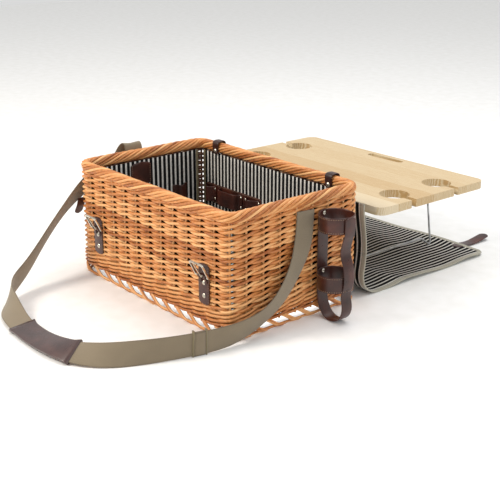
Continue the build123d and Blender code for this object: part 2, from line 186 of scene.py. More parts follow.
# %% The strap's route
STRAP_ROUTE = [
    ((286.5, 21, 246), (0, -1, 0)), ((287, 19, 205), (0, -1, 0)),
    ((292, 8, 170), (0.05, -1, 0.05)), ((300, -15, 135), (0.2, -0.85, 0.4)),
    ((305, -42, 101), (0.28, -0.72, 0.63)), ((306, -74, 68), (0.35, -0.55, 0.75)),
    ((306, -115, 46), (0.4, -0.3, 0.86)), ((304, -156, 34), (0.3, -0.1, 0.95)),
    ((299, -198, 27), (0.1, 0, 1)), ((290, -250, 25.8), (0, 0, 1)),
    ((273, -308, 25.6), (0, 0.12, 0.99)), ((250, -368, 25.5), (0, 0.4, 0.92)),
    ((213, -426, 22.4), (0, 0.68, 0.73)), ((160, -466, 20), (0, 0.82, 0.57)),
    ((105, -478, 17), (0, 0.94, 0.34)), ((50, -480, 11.5), (0, 0.98, 0.2)),
    ((-5, -479, 9), (0, 0.99, 0.14)), ((-58, -474, 10.5), (0.1, 0.98, 0.14)),
    ((-106, -466, 14.5), (0.2, 0.93, 0.3)), ((-148, -454, 20), (0.3, 0.7, 0.65)),
    ((-190, -434, 27), (0.25, 0.2, 0.95)), ((-226, -402, 34), (0.25, -0.12, 0.96)),
    ((-252, -354, 54), (0.42, -0.25, 0.87)), ((-268, -310, 90), (0.56, -0.27, 0.78)),
    ((-284, -266, 126), (0.6, -0.27, 0.75)), ((-297, -223, 159), (0.6, -0.28, 0.75)),
    ((-307, -183, 186), (0.5, -0.38, 0.78)), ((-314, -143, 209), (0.34, -0.52, 0.78)),
    ((-318, -104, 219), (0.12, -0.68, 0.72)), ((-321, -70, 222), (0, -0.82, 0.57)),
    ((-321, -44, 245), (0, -0.96, 0.25)), ((-313, -24, 286), (0, -1, 0)),
    ((-297, -20, 291), (0, -1, 0)), ((-292, -20, 262), (0, -1, 0)),
    ((-290, -20, 243), (0, -1, 0)), ((-286.5, -20, 220), (0, -1, 0)),
]
STRAP_WIDTH, STRAP_THICK, STRAP_LENGTH = 50 * MM, 2.4 * MM, 1.62
PAD_SPAN, SLIDER_SPAN = (78, 102), (52, 56)     # the spline's points that each one covers


def read_spline(points, resolution=6):
    """Points along a quadratic NURBS curve, as Blender gives them for a curve with no bevel."""
    data = bpy.data.curves.new("route", "CURVE")
    data.dimensions = "3D"
    data.resolution_u = resolution
    spline = data.splines.new("NURBS")
    spline.points.add(len(points) - 1)
    for control, place in zip(spline.points, points):
        control.co = (*place, 1)
    spline.order_u = 3
    spline.use_endpoint_u = True
    holder = bpy.data.objects.new("route", data)
    mesh = bpy.data.meshes.new_from_object(holder)
    line = np.array([v.co for v in mesh.vertices])
    bpy.data.objects.remove(holder)
    bpy.data.meshes.remove(mesh)
    bpy.data.curves.remove(data)
    return line


def unit(vectors):
    return vectors / np.maximum(np.linalg.norm(vectors, axis=-1, keepdims=True), 1e-9)


def length_along(line):
    """The distance along a line at each of its points, from 0 at its start."""
    return np.r_[0, np.cumsum(np.linalg.norm(np.diff(line, axis=0), axis=1))]


strap_middle = read_spline([[c * MM for c in place] for place, _ in STRAP_ROUTE])
strap_edge = unit(read_spline([list(Vector(edge).normalized()) for _, edge in STRAP_ROUTE]))
print("strap runs", round(float(length_along(strap_middle)[-1]), 3), "m over", len(strap_middle), "points")

# %% [markdown]
# Two mesh makers do most of the work. One sweeps a closed section along a line: webbing,
# leather strips and bindings are all that. Its section is a list of (across, out) pairs, so a
# strap can have a rounded selvedge. The other makes many round rods at once, for the weave.

# %% Mesh makers
ROD_SPREAD = 0.05         # how much rods differ in thickness, as a share
GRAIN_STEP = 3.7          # metres of grain between one rod and the next, so that no two match


def finish_piece(name, vertices, faces, material, body, slot, fields=None, smooth=True):
    """A named object from vertices and faces, smooth shaded, riding on one body."""
    mesh = bpy.data.meshes.new(name)
    mesh.from_pydata(np.asarray(vertices).tolist(), [], [list(f) for f in faces])
    mesh.validate()
    for key, values in (fields or {}).items():
        mesh.attributes.new(key, "FLOAT", "POINT").data.foreach_set("value", np.asarray(values, np.float32))
    mesh.polygons.foreach_set("use_smooth", [smooth] * len(mesh.polygons))
    mesh.materials.append(material)
    piece = bpy.data.objects.new(name, mesh)
    bpy.context.scene.collection.objects.link(piece)
    if body:
        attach(piece, body)
    return piece


def grid_faces(rows, columns, closed_rows=False, closed_columns=True):
    """Quads between rows of points, each row a ring when closed_columns."""
    r = np.arange(rows if closed_rows else rows - 1)[:, None]
    c = np.arange(columns if closed_columns else columns - 1)[None, :]
    r2, c2 = (r + 1) % rows, (c + 1) % columns
    quads = np.stack([r * columns + c, r * columns + c2, r2 * columns + c2, r2 * columns + c], -1)
    return quads.reshape(-1, 4)


def flat_section(width, thick, crown=0.0):
    """Half widths and heights of a band's section: flat faces, softly rounded edges."""
    w, t = width / 2, thick / 2
    r = min(t * 0.9, 0.9 * MM)
    return np.array([(w - 2.2 * r, t), (w - 0.5 * r, t - 0.35 * r), (w, 0), (w - 0.5 * r, 0.35 * r - t),
                     (w - 2.2 * r, -t), (0, -t), (2.2 * r - w, -t), (0.5 * r - w, 0.35 * r - t), (-w, 0),
                     (0.5 * r - w, t - 0.35 * r), (2.2 * r - w, t), (0, t + crown)])


def band(name, middle, edge, section, material, body, slot, closed=False, taper=None):
    """Sweeps a section along a line; edge is the direction of its width at each point."""
    middle = np.asarray(middle, float)
    edge = np.broadcast_to(np.asarray(edge, float), middle.shape)
    ahead = np.roll(middle, -1, 0) - np.roll(middle, 1, 0) if closed else np.gradient(middle, axis=0)
    out = unit(np.cross(ahead, edge))
    across = unit(np.cross(out, ahead))
    scale = np.ones(len(middle)) if taper is None else np.asarray(taper, float)
    rings = (middle[:, None] + across[:, None] * (section[None, :, :1] * scale[:, None, None])
             + out[:, None] * section[None, :, 1:])
    rows, sides = rings.shape[:2]
    faces = [list(f) for f in grid_faces(rows, sides, closed)]
    if not closed:
        faces += [list(range(sides))[::-1], [(rows - 1) * sides + k for k in range(sides)]]
    run = length_along(middle)
    fields = {"along": np.repeat(run, sides), "across": np.tile(section[:, 0], rows)}
    return finish_piece(name, rings.reshape(-1, 3), faces, material, body, slot, fields)


def rods(name, lines, outs, radius, material, body, slot, closed, sides=8, thin=None):
    """Many round rods in one mesh. outs gives a sideways direction at each point of each line."""
    vertices, faces, tones, alongs, deeps, start = [], [], [], [], [], 0
    turn = np.arange(sides) * 2 * math.pi / sides
    for index, (line, out) in enumerate(zip(lines, outs)):
        ahead = np.roll(line, -1, 0) - np.roll(line, 1, 0) if closed else np.gradient(line, axis=0)
        side = unit(np.cross(ahead, out))
        up = unit(np.cross(side, ahead))
        size = radius * (1 + ROD_SPREAD * dice.standard_normal())
        size = size * (np.ones(len(line)) if thin is None else thin)
        rings = line[:, None] + size[:, None, None] * (np.cos(turn)[None, :, None] * up[:, None]
                                                       + np.sin(turn)[None, :, None] * side[:, None])
        quads = grid_faces(len(line), sides, closed) + start
        faces += quads.tolist()
        if not closed:
            faces += [[start + k for k in range(sides)][::-1],
                      [start + (len(line) - 1) * sides + k for k in range(sides)]]
        vertices.append(rings.reshape(-1, 3))
        run = length_along(line) + index * GRAIN_STEP
        alongs.append(np.repeat(run, sides))
        tones.append(np.full(len(line) * sides, dice.random()))
        deeps.append(np.clip(-((rings - line[:, None]) * out[:, None]).sum(-1) / radius, 0, 1).ravel())
        start += len(line) * sides
    fields = {"tone": np.concatenate(tones), "along": np.concatenate(alongs), "deep": np.concatenate(deeps)}
    return finish_piece(name, np.concatenate(vertices), faces, material, body, slot, fields)


# %% [markdown]
# Cotton webbing is woven flat with a ribbed face: the eye reads fine ribs across its width and
# a slightly darker selvedge. Real ribs are about 0.8 mm apart and would vanish at this
# distance, so they are drawn 2 mm apart. Its short fibres scatter light, so it is matt with a
# touch of sheen.

# %% Webbing
RIB = 2.0 * MM


def woven_band(name, dark, light, rib, half_width):
    material, tree, shader = new_material(name, {"Roughness": 0.85, "Sheen Weight": 0.25,
                                                 "Sheen Roughness": 0.5, "Specular IOR Level": 0.25})
    along = put(tree, "ShaderNodeAttribute", {"attribute_name": "along"}).outputs["Fac"]
    across = put(tree, "ShaderNodeAttribute", {"attribute_name": "across"}).outputs["Fac"]
    at = put(tree, "ShaderNodeCombineXYZ", links={0: along, 1: across})
    ribs = put(tree, "ShaderNodeTexWave", {"Scale": 0.314 / rib, "Distortion": 0.6, "Detail": 1.0},
               {"Vector": at.outputs[0]})
    fibre = put(tree, "ShaderNodeTexNoise", {"Scale": 900.0, "Detail": 2.0}, {"Vector": at.outputs[0]})
    wear = put(tree, "ShaderNodeTexNoise", {"Scale": 9.0, "Detail": 2.0}, {"Vector": at.outputs[0]})
    mix = reckon(tree, "MULTIPLY", wear.outputs[0], 0.35)
    mix = reckon(tree, "MULTIPLY_ADD", ribs.outputs["Fac"], 0.45, mix)
    mix = reckon(tree, "MULTIPLY_ADD", fibre.outputs[0], 0.3, mix)
    selvedge = put(tree, "ShaderNodeMapRange", {1: half_width * 0.88, 2: half_width, 3: 1.0, 4: 0.72},
                   {0: reckon(tree, "ABSOLUTE", across)})
    colour = ramp(tree, mix, [(0.25, dark), (0.75, light)])
    shade = put(tree, "ShaderNodeMix", {"data_type": "RGBA", "blend_type": "MULTIPLY", 0: 1.0},
                {6: colour, 7: selvedge.outputs[0]})
    tree.links.new(shade.outputs[2], shader.inputs["Base Color"])
    bump(tree, shader, ribs.outputs["Fac"], 0.5, 0.4 * MM)
    return material


webbing = woven_band("cotton_webbing", "#6C5F4D", "#958770", RIB, STRAP_WIDTH / 2)
binding_tape = woven_band("cotton_binding", "#8F8B7C", "#B9B5A5", 1.6 * MM, 6.5 * MM)
khaki_tape = woven_band("khaki_binding", "#6B604A", "#948766", 1.6 * MM, 6.5 * MM)

# %% [markdown]
# Bridle leather is split hide dyed dark brown and waxed. It has fine pores, a slow change of
# tone, and it shines softly where it bends. A fine noise gives the pores, a slow one the tone,
# and a light coat stands for the wax.

# %% Leather
def leather_material(name, dark, base, light, coat, polish):
    material, tree, shader = new_material(name, {"IOR": 1.5, "Coat Weight": coat, "Coat Roughness": polish})
    place = put(tree, "ShaderNodeTexCoord").outputs["Object"]
    cloud = put(tree, "ShaderNodeTexNoise", {"Scale": 26.0, "Detail": 4.0}, {"Vector": place})
    pores = put(tree, "ShaderNodeTexVoronoi", {"Scale": 620.0}, {"Vector": place})
    scuff = put(tree, "ShaderNodeTexNoise", {"Scale": 190.0, "Detail": 5.0, "Distortion": 1.2},
                {"Vector": place})
    colour = ramp(tree, cloud.outputs[0], [(0.3, dark), (0.52, base), (0.75, light)])
    tree.links.new(colour, shader.inputs["Base Color"])
    gloss = put(tree, "ShaderNodeMapRange", {1: 0.3, 2: 0.7, 3: 0.26, 4: 0.46}, {0: scuff.outputs[0]})
    tree.links.new(gloss.outputs[0], shader.inputs["Roughness"])
    height = reckon(tree, "MULTIPLY_ADD", pores.outputs["Distance"], 0.5, scuff.outputs[0])
    bump(tree, shader, height, 0.35, 0.25 * MM)
    return material


brown_leather = leather_material("bridle_leather", "#28100B", "#3F1B12", "#5A2B1D", 0.12, 0.35)
pad_leather = leather_material("pad_leather", "#371F1B", "#442823", "#53342D", 0.8, 0.2)

# %% [markdown]
# The strap, its pad and its slider. The pad is two layers of leather sewn over the webbing, a
# little fuller in the middle and flared at both ends. The slider is a folded keeper of the same
# webbing, with a narrow khaki bar across each end of it.

# %% Shoulder strap
strap = band("webbing_strap", strap_middle, strap_edge, flat_section(STRAP_WIDTH, STRAP_THICK), webbing,
             "basket", "webbing")
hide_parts("shoulder_strap")
span = slice(*PAD_SPAN)
t = np.linspace(0, 1, len(strap_middle[span]))
flare = 1 + 0.13 * np.exp(-((t / 0.06) ** 2)) + 0.13 * np.exp(-(((1 - t) / 0.06) ** 2))
pad = band("leather_pad", strap_middle[span], strap_edge[span], flat_section(53 * MM, 7.4 * MM, 1.6 * MM),
           pad_leather, "basket", "leather", taper=flare)
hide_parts("shoulder_pad")
span = slice(*SLIDER_SPAN)
slider = band("webbing_slider", strap_middle[span], strap_edge[span], flat_section(51.4 * MM, 7 * MM),
              webbing, "basket", "webbing")
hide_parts("strap_slider")
for end, at in (("a", SLIDER_SPAN[0]), ("b", SLIDER_SPAN[1] - 1)):
    reach = np.linspace(-25.6, 29, 9)[:, None] * MM * strap_edge[at]
    run = unit(strap_middle[at + 1] - strap_middle[at - 1])
    band(f"slider_bar_{end}", strap_middle[at] + reach, run,
                     flat_section(4 * MM, 9.4 * MM, 0.4 * MM), khaki_tape, "basket", "webbing")
print("strap, pad and slider made")

# %% [markdown]
# A willow basket starts from upright stakes, and the wall is woven round them. Here it is
# paired: two rods twist round each other and swap places at every stake, so each stroke rises
# a little to the right and leaves a dark hole on both sides of the stake above it. One pair of
# lines, a cosine in and out and a sine up and down, gives that twist for the whole round.

# %% Round the basket
CORNER = 34 * MM
WALL_MIDDLE = -8.0 * MM            # the stakes' line, inside the rim's outer line
STAKES = 40                        # twelve along each long side, eight along each end
SIDE_STAKES = (12, 8, 12, 8)


def lay_out_round():
    """Places and outward directions round the basket, by stake number from the front left corner."""
    hx, hy, r = HALF_LENGTH - CORNER, HALF_DEPTH - CORNER, CORNER
    centres = [(-hx, -hy, 225), (hx, -hy, 315), (hx, hy, 45), (-hx, hy, 135)]
    number, place, out, start = [], [], [], 0
    for side, count in enumerate(SIDE_STAKES):
        ax, ay, a0 = centres[side]
        bx, by, _ = centres[(side + 1) % 4]
        turn = [math.radians(a0 + k * 45 / 12) for k in range(13)]
        turn2 = [math.radians(a0 + 45 + k * 45 / 12) for k in range(13)]
        points = [(ax + r * math.cos(a), ay + r * math.sin(a)) for a in turn]
        points += [(bx + r * math.cos(a), by + r * math.sin(a)) for a in turn2]
        normals = [(math.cos(a), math.sin(a)) for a in turn + turn2]
        run = length_along(points)
        number += list(start + count * run / run[-1])
        place += points
        out += normals
        start += count
    return np.array(number), np.array(place), np.array(out)


NUMBER, PLACE, OUTWARD = lay_out_round()


def around(stake, out, height):
    """Points at a stake number, so far out from the rim's outer line and so high, and their normals."""
    u = np.mod(stake, STAKES)
    x, y = (np.interp(u, NUMBER, PLACE[:, k]) for k in (0, 1))
    nx, ny = (np.interp(u, NUMBER, OUTWARD[:, k]) for k in (0, 1))
    normal = unit(np.stack([nx, ny, np.zeros_like(nx)], -1))
    return np.stack([x, y, np.zeros_like(x) + height], -1) + normal * np.reshape(out, (-1, 1)), normal


# Where leather and webbing are fixed, they press the rods in. Each place has its middle in
# plan, its half width, and its lowest and highest level, all in mm.
PRESSED = [((-204, -190), 20, (56, 162)), ((204, -190), 20, (56, 162)), ((289, 21), 27, (186, 262)),
           ((-289, -20), 27, (206, 262))]


def press_in(line):
    """How far each point of a rod is pressed in by the fittings over it, from 0 to 1."""
    share = np.zeros(len(line))
    for (x, y), half, (z0, z1) in PRESSED:
        beside = np.hypot(line[:, 0] - x * MM, line[:, 1] - y * MM) / MM
        level = line[:, 2] / MM
        over = np.clip((half + 14 - beside) / 9, 0, 1) * np.clip((level - z0 + 6) / 6, 0, 1)
        share = np.maximum(share, over * np.clip((z1 + 6 - level) / 6, 0, 1))
    return share


def weave_line(u, depth, level):
    """A rod's line round the basket, drawn in and flattened where a fitting presses on it."""
    line, normal = around(u, depth, level)
    share = press_in(line)
    return around(u, depth + share * (-1.2 * MM - 0.45 * (depth - WALL_MIDDLE)), level)


print("one round is", STAKES, "stakes")

# %% Paired wall
ROD = 3.35 * MM
WALE_ROD = 3.1 * MM
ROW_PITCH, ROWS, FIRST_ROW = 12.2 * MM, 16, 66 * MM


def wobble(u, seed, size):
    """A slow closed wave round the basket, so that no row is dead level."""
    phase, turn = seed * 2.4, 2 * math.pi * u / STAKES
    return size * (np.sin(turn * 3 + phase) + 0.6 * np.sin(turn * 7 + 1.7 * phase))


lines, outs = [], []
u = np.linspace(0, STAKES, STAKES * 10, endpoint=False)
for row in range(ROWS):
    for twin in (0, 1):
        swing = math.pi * u + twin * math.pi
        depth = WALL_MIDDLE + 3.5 * MM * np.cos(swing)
        level = FIRST_ROW + row * ROW_PITCH + 3.2 * MM * np.sin(swing) + wobble(u, row, 0.5 * MM)
        line, normal = weave_line(u, depth, level)
        lines.append(line)
        outs.append(normal)
weave = rods("paired_weave", lines, outs, ROD, buff_willow, "basket", "willow", closed=True)
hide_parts("wicker_wall")
print("wall rods", len(lines))

# %% Stakes
STAKE_ROD = 2.5 * MM
lines, outs = [], []
z = np.linspace(20, 262, 14) * MM
for stake in range(STAKES):
    lean = 0.12 * dice.standard_normal()
    u = np.full(len(z), stake) + lean * np.sin(z / 0.08) * 0.1
    line, normal = around(u, np.full(len(z), WALL_MIDDLE), z)
    lines.append(line)
    outs.append(normal)
rods("stakes", lines, outs, STAKE_ROD, pale_willow, "basket", "willow", closed=False)
print("stakes", len(lines))

# %% [markdown]
# The bottom of the wall is waled: three rods work in turn, each in front of two stakes and
# behind one. It is tighter than pairing and locks the stakes where they turn into the base.

# %% Waling
WALE_ROWS, FIRST_WALE, WALE_PITCH = 4, 29.8, 8.7     # the last two in mm
lines, outs = [], []
for row in range(WALE_ROWS):
    u = np.linspace(0, 3 * STAKES, 3 * STAKES * 7, endpoint=False)
    swing = 2 * math.pi * u / 3
    depth = -7.7 * MM + 4.2 * MM * np.cos(swing) + 0.9 * MM * np.cos(2 * swing)
    level = (FIRST_WALE + WALE_PITCH * row) * MM + 4.3 * MM * np.sin(swing) + wobble(u, row + 20, 0.4 * MM)
    line, normal = weave_line(u, depth, level)
    lines.append(line)
    outs.append(normal)
waling = rods("waling", lines, outs, WALE_ROD, buff_willow, "basket", "willow", closed=True)
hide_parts("waling_band")

# %% [markdown]
# The rim is a rolled border: the stakes are bent down one after the other and wrapped along the
# top, which reads as a thick rope with long strands. Nine rods wind round an oval, with a slow
# turn so that each strand runs far along the rim before it dives inside.

# %% Rolled rim
RIM_STRANDS, RIM_TURNS = 9, 10
RIM_ROD, RIM_HEIGHT, RIM_DEPTH = 3.2 * MM, 265.8 * MM, -11 * MM
lines, outs = [], []
u = np.linspace(0, STAKES, STAKES * 14, endpoint=False)
for strand in range(RIM_STRANDS):
    swing = 2 * math.pi * (RIM_TURNS * u / STAKES + strand / RIM_STRANDS)
    swell = 1 + 0.05 * np.sin(2 * math.pi * u * 0.5 + strand * 2.1)
    depth = RIM_DEPTH + 7.3 * MM * np.cos(swing) * swell
    level = RIM_HEIGHT + 10.0 * MM * np.sin(swing) * swell
    line, normal = around(u, depth, level)
    lines.append(line)
    outs.append(normal * np.cos(swing)[:, None] + np.outer(np.sin(swing), (0, 0, 1)))
rolled = rods("rolled_rim", lines, outs, RIM_ROD, buff_willow, "basket", "willow", closed=True, sides=9)
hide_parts("rim_border")

# %% [markdown]
# The foot is an open border. Each stake end, a pair of rods, slants down to the right, runs
# along the ground past the next two stakes, weaving out and in, and is cut off inside. That
# leaves a lens of daylight between one pair and the next.

# %% Open foot
FOOT_ROD, FOOT_REACH = 2.45 * MM, 2.3     # each end reaches this many stakes along
lines, outs = [], []
run = np.linspace(0, 1, 24)
for stake in range(STAKES):
    for twin in (0, 1):
        u = stake - 0.06 + twin * 0.13 + FOOT_REACH * run
        fall = np.clip(run / 0.42, 0, 1)
        fall = fall * fall * (3 - 2 * fall)
        level = (27.5 - 20.7 * fall - 4.0 * np.clip((run - 0.42) / 0.45, 0, 1) + 1.1 * twin) * MM
        depth = (-5.2 + 2.3 * np.sin(run * 2.3 * math.pi - 0.4) - 3.4 * np.clip((run - 0.6) / 0.4, 0, 1)) * MM
        line, normal = around(u, depth, np.maximum(level, 2.7 * MM))
        lines.append(line)
        outs.append(normal)
foot = rods("open_foot", lines, outs, FOOT_ROD, buff_willow, "basket", "willow", closed=False)
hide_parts("foot_border")

# %% [markdown]
# The base is woven flat, over and under pairs of bottom sticks. It is seen only from below.

# %% Woven base
BASE_LEVEL, STICK_GAP = 30.2 * MM, 46 * MM
lines, outs = [], []
for row in range(46):
    y = (-172 + row * 7.65) * MM
    x = np.linspace(-272, 272, 97) * MM
    z = BASE_LEVEL + 2.4 * MM * np.cos(x / STICK_GAP * math.pi + row * math.pi)
    lines.append(np.stack([x, np.full_like(x, y), z], -1))
    outs.append(np.tile([0.0, 0.0, 1.0], (len(x), 1)))
for stick in range(-5, 6):
    y = np.linspace(-172, 172, 12) * MM
    lines.append(np.stack([np.full_like(y, (stick + 0.5) * STICK_GAP), y, np.full_like(y, BASE_LEVEL)], -1))
    outs.append(np.tile([0.0, 0.0, 1.0], (len(y), 1)))
base = rods("woven_base", lines, outs, 2.7 * MM, buff_willow, "basket", "willow", closed=False, sides=6)
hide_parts("wicker_base")
print("willow pieces done")

# %% [markdown]
# The lining is a cotton ticking with black and off-white stripes. One stripe pair is 13.5 mm
# wide and the black is a little wider than the white. Its threads are finer than the eye sees
# here, so the weave is drawn at 1.4 mm. Its back, in the dark behind the willow, is painted
# dark brown: painted shade, so that the holes in the weave look dark.

# %% Striped cloth
STRIPE, BLACK_SHARE, THREAD = 13.5 * MM, 0.63, 1.4 * MM


def striped_cloth(name, across, shift=0.0, black_share=BLACK_SHARE):
    """Ticking whose stripes repeat along one axis, 0 for x and 1 for y."""
    material, tree, shader = new_material(name, {"Roughness": 0.88, "Sheen Weight": 0.03,
                                                 "Sheen Roughness": 0.5, "Specular IOR Level": 0.12})
    place = put(tree, "ShaderNodeTexCoord").outputs["Object"]
    drift = put(tree, "ShaderNodeTexNoise", {"Scale": 12.0, "Detail": 1.0}, {"Vector": place})
    axes = put(tree, "ShaderNodeSeparateXYZ", links={0: place})
    count = reckon(tree, "MULTIPLY_ADD", axes.outputs[across], 1 / STRIPE, 100 + shift)
    count = reckon(tree, "MULTIPLY_ADD", drift.outputs[0], 0.10, count)
    off = reckon(tree, "ABSOLUTE", reckon(tree, "SUBTRACT", reckon(tree, "FRACT", count), 0.5))
    edge = put(tree, "ShaderNodeMapRange", {1: black_share / 2 - 0.03, 2: black_share / 2 + 0.03}, {0: off})
    fibre = put(tree, "ShaderNodeTexNoise", {"Scale": 0.6 / THREAD, "Detail": 3.0}, {"Vector": place})
    black = ramp(tree, fibre.outputs[0], [(0.3, "#070708"), (0.7, "#161516")])
    white = ramp(tree, fibre.outputs[0], [(0.3, "#C6C3BC"), (0.7, "#EAE7E0")])
    mixed = put(tree, "ShaderNodeMix", {"data_type": "RGBA"}, {0: edge.outputs[0], 6: black, 7: white})
    tree.links.new(mixed.outputs[2], shader.inputs["Base Color"])
    threads = put(tree, "ShaderNodeTexWave", {"bands_direction": "DIAGONAL", "Scale": 0.314 / THREAD},
                  {"Vector": place})
    bump(tree, shader, threads.outputs["Fac"], 0.3, 0.2 * MM)
    return material


ticking_along_x = striped_cloth("cotton_ticking_x", 0)
ticking_along_y = striped_cloth("cotton_ticking_y", 1, 0.3)
cover_ticking = striped_cloth("cotton_ticking_cover", 0, 0.0, 0.70)

# The lining's back is painted dark brown as painted shade, so that the holes in the weave look dark.
painted_shade_back, tree, shader = new_material("painted_shade_backing", {"Roughness": 0.95, "Specular IOR Level": 0.1})
slub = put(tree, "ShaderNodeTexNoise", {"Scale": 500.0, "Detail": 2.0})
tree.links.new(ramp(tree, slub.outputs[0], [(0.3, "#1B1310"), (0.7, "#2A1E18")]), shader.inputs["Base Color"])
bump(tree, shader, slub.outputs[0], 0.2, 0.2 * MM)

# %% [markdown]
# Each lining panel is one piece of cloth, held by stitches along its top and sides, so it
# puckers slightly between them. It could be simulated, but a stretched panel barely moves, and
# a few low waves pressed into a grid give the same look. A khaki tape binds its upright edges.

# %% Lining
def cloth_sheet(name, grid, half_thick, materials, pick, body, slot, fields=None):
    """A closed thin sheet through a grid of points. pick(row, column, back) gives a quad's material."""
    along = np.gradient(grid, axis=0)
    across = np.gradient(grid, axis=1)
    normal = unit(np.cross(across, along))
    rows, columns = grid.shape[:2]
    front, back = grid + normal * half_thick[..., None], grid - normal * half_thick[..., None]
    vertices = np.concatenate([front.reshape(-1, 3), back.reshape(-1, 3)])
    half = rows * columns
    quads = grid_faces(rows, columns, False, False)
    faces = quads.tolist() + (quads[:, ::-1] + half).tolist()
    edge = [(0, c) for c in range(columns)] + [(r, columns - 1) for r in range(1, rows)]
    edge += [(rows - 1, c) for c in range(columns - 2, -1, -1)] + [(r, 0) for r in range(rows - 2, 0, -1)]
    ring = [r * columns + c for r, c in edge]
    faces += [[b, a, a + half, b + half] for a, b in zip(ring, ring[1:] + ring[:1])]
    sheet = finish_piece(name, vertices, faces, materials[0], None, slot, fields)
    for extra in materials[1:]:
        sheet.data.materials.append(extra)
    chosen = [pick(r, c, False) for r in range(rows - 1) for c in range(columns - 1)]
    chosen += [pick(r, c, True) for r in range(rows - 1) for c in range(columns - 1)]
    chosen += [pick(min(r, rows - 2), min(c, columns - 2), False) for r, c in edge]
    sheet.data.polygons.foreach_set("material_index", chosen)
    if body:
        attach(sheet, body)
    return sheet


REACH = 9 * MM            # how far each panel goes on towards the corners, past its plain solid


def lining_panel(side, across, level, sign):
    """One upright panel from its CAD box; across is the axis it runs along."""
    low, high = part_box(f"lining_{side}")
    run = np.linspace(low[across] - REACH, high[across] + REACH, 61)
    z = np.linspace(low.z, high.z, 19)
    R, Z = np.meshgrid(run, z)
    tall = (Z - low.z) / (high.z - low.z)
    slack = 0.35 + 0.65 * np.sin(math.pi * tall)
    pucker = 0.7 * MM * np.sin(R * 74 + level) * np.sin(R * 31 + 2 * level) * slack
    deep = (low[1 - across] + high[1 - across]) / 2 - sign * (0.3 * MM + np.abs(pucker))
    grid = np.stack([R, deep, Z] if across == 0 else [deep, R, Z], -1)
    if (across == 0) != (sign > 0):
        grid = grid[:, ::-1]
    cloth = ticking_along_x if across == 0 else ticking_along_y
    panel = cloth_sheet(f"ticking_{side}", grid, np.full(R.shape, 0.7 * MM), [cloth, painted_shade_back],
                        lambda r, c, back: int(back), "basket", "lining_cloth")
    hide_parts(f"lining_{side}")
    for end, edge in (("a", grid[:, 0]), ("b", grid[:, -1])):
        inward = unit(grid[:, 5] - grid[:, 0]) * (1 if end == "a" else -1)
        tape = band(f"tape_{side}_{end}", edge + inward * 3 * MM, inward, flat_section(8 * MM, 2.8 * MM),
                    khaki_tape, "basket", "webbing")


for side, across, level, sign in (("front", 0, 0.4, -1), ("back", 0, 1.9, 1), ("left", 1, 3.1, -1),
                                  ("right", 1, 4.4, 1)):
    lining_panel(side, across, level, sign)

low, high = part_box("lining_base")
X, Y = np.meshgrid(np.linspace(low.x + 3 * MM, high.x - 3 * MM, 60),
                   np.linspace(low.y + 3 * MM, high.y - 3 * MM, 40))
grid = np.stack([X, Y, 36.2 * MM + 0.5 * MM * np.sin(X * 40) * np.sin(Y * 47)], -1)
floor_cloth = cloth_sheet("ticking_base", grid, np.full(X.shape, 0.7 * MM), [ticking_along_x, painted_shade_back],
                          lambda r, c, back: int(back), "basket", "lining_cloth")
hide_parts("lining_base")
print("lining done")

# %% [markdown]
# The cover is a long rectangle of the same ticking with a pale binding round it. It hangs from
# the back of the basket, turns in a soft bend and lies on the ground behind. It is cut here
# into three strips, each of which crosses one fold. The strips share their edge points, so no
# seam shows.

# %% Cover cloth
COVER_HALF, COVER_END, COVER_CORNER = 284 * MM, 653.2 * MM, 30 * MM
HANG, BEND_R = 161.7 * MM, 60 * MM
BIND = 12 * MM
LEG_FEET = [(0.157, 0.297), (0.157, 0.582), (-0.201, 0.297), (-0.201, 0.582)]


def cover_place(s, x):
    """The point of the cover's middle, a length s below its hinge line, and at x across."""
    turn = np.clip((s - HANG) / BEND_R, 0, math.pi / 2)
    flat = np.maximum(s - HANG - BEND_R * math.pi / 2, 0)
    y = 202 * MM + BEND_R * (1 - np.cos(turn)) + flat
    z = 223 * MM - np.minimum(s, HANG) - BEND_R * np.sin(turn)
    belly = np.sin(math.pi * np.clip(s / (HANG + BEND_R), 0, 1)) ** 2
    y = y + belly * (11 * MM + 3 * MM * np.sin(x * 23) + 2 * MM * np.sin(x * 51 + 1))
    lying = np.clip(flat / (90 * MM), 0, 1)
    ripple = 0.5 + 0.5 * np.sin(y * 38 + 9 * x + 0.8 * np.sin(x * 17))
    ripple = ripple * (0.55 + 0.45 * np.sin(y * 15 - 13 * x))
    edge = np.clip((np.abs(x) - 0.19) / 0.09, 0, 1) ** 2
    lift = lying * (6.0 * MM * ripple + edge * 8 * MM * (0.5 + 0.5 * np.sin(y * 33 + np.sign(x))))
    near = np.min([np.hypot(x - fx, y - fy) for fx, fy in LEG_FEET], axis=0)
    lift = lift * np.clip((near - 0.015) / 0.05, 0, 1)
    return np.stack([x, y, z + lift], -1)


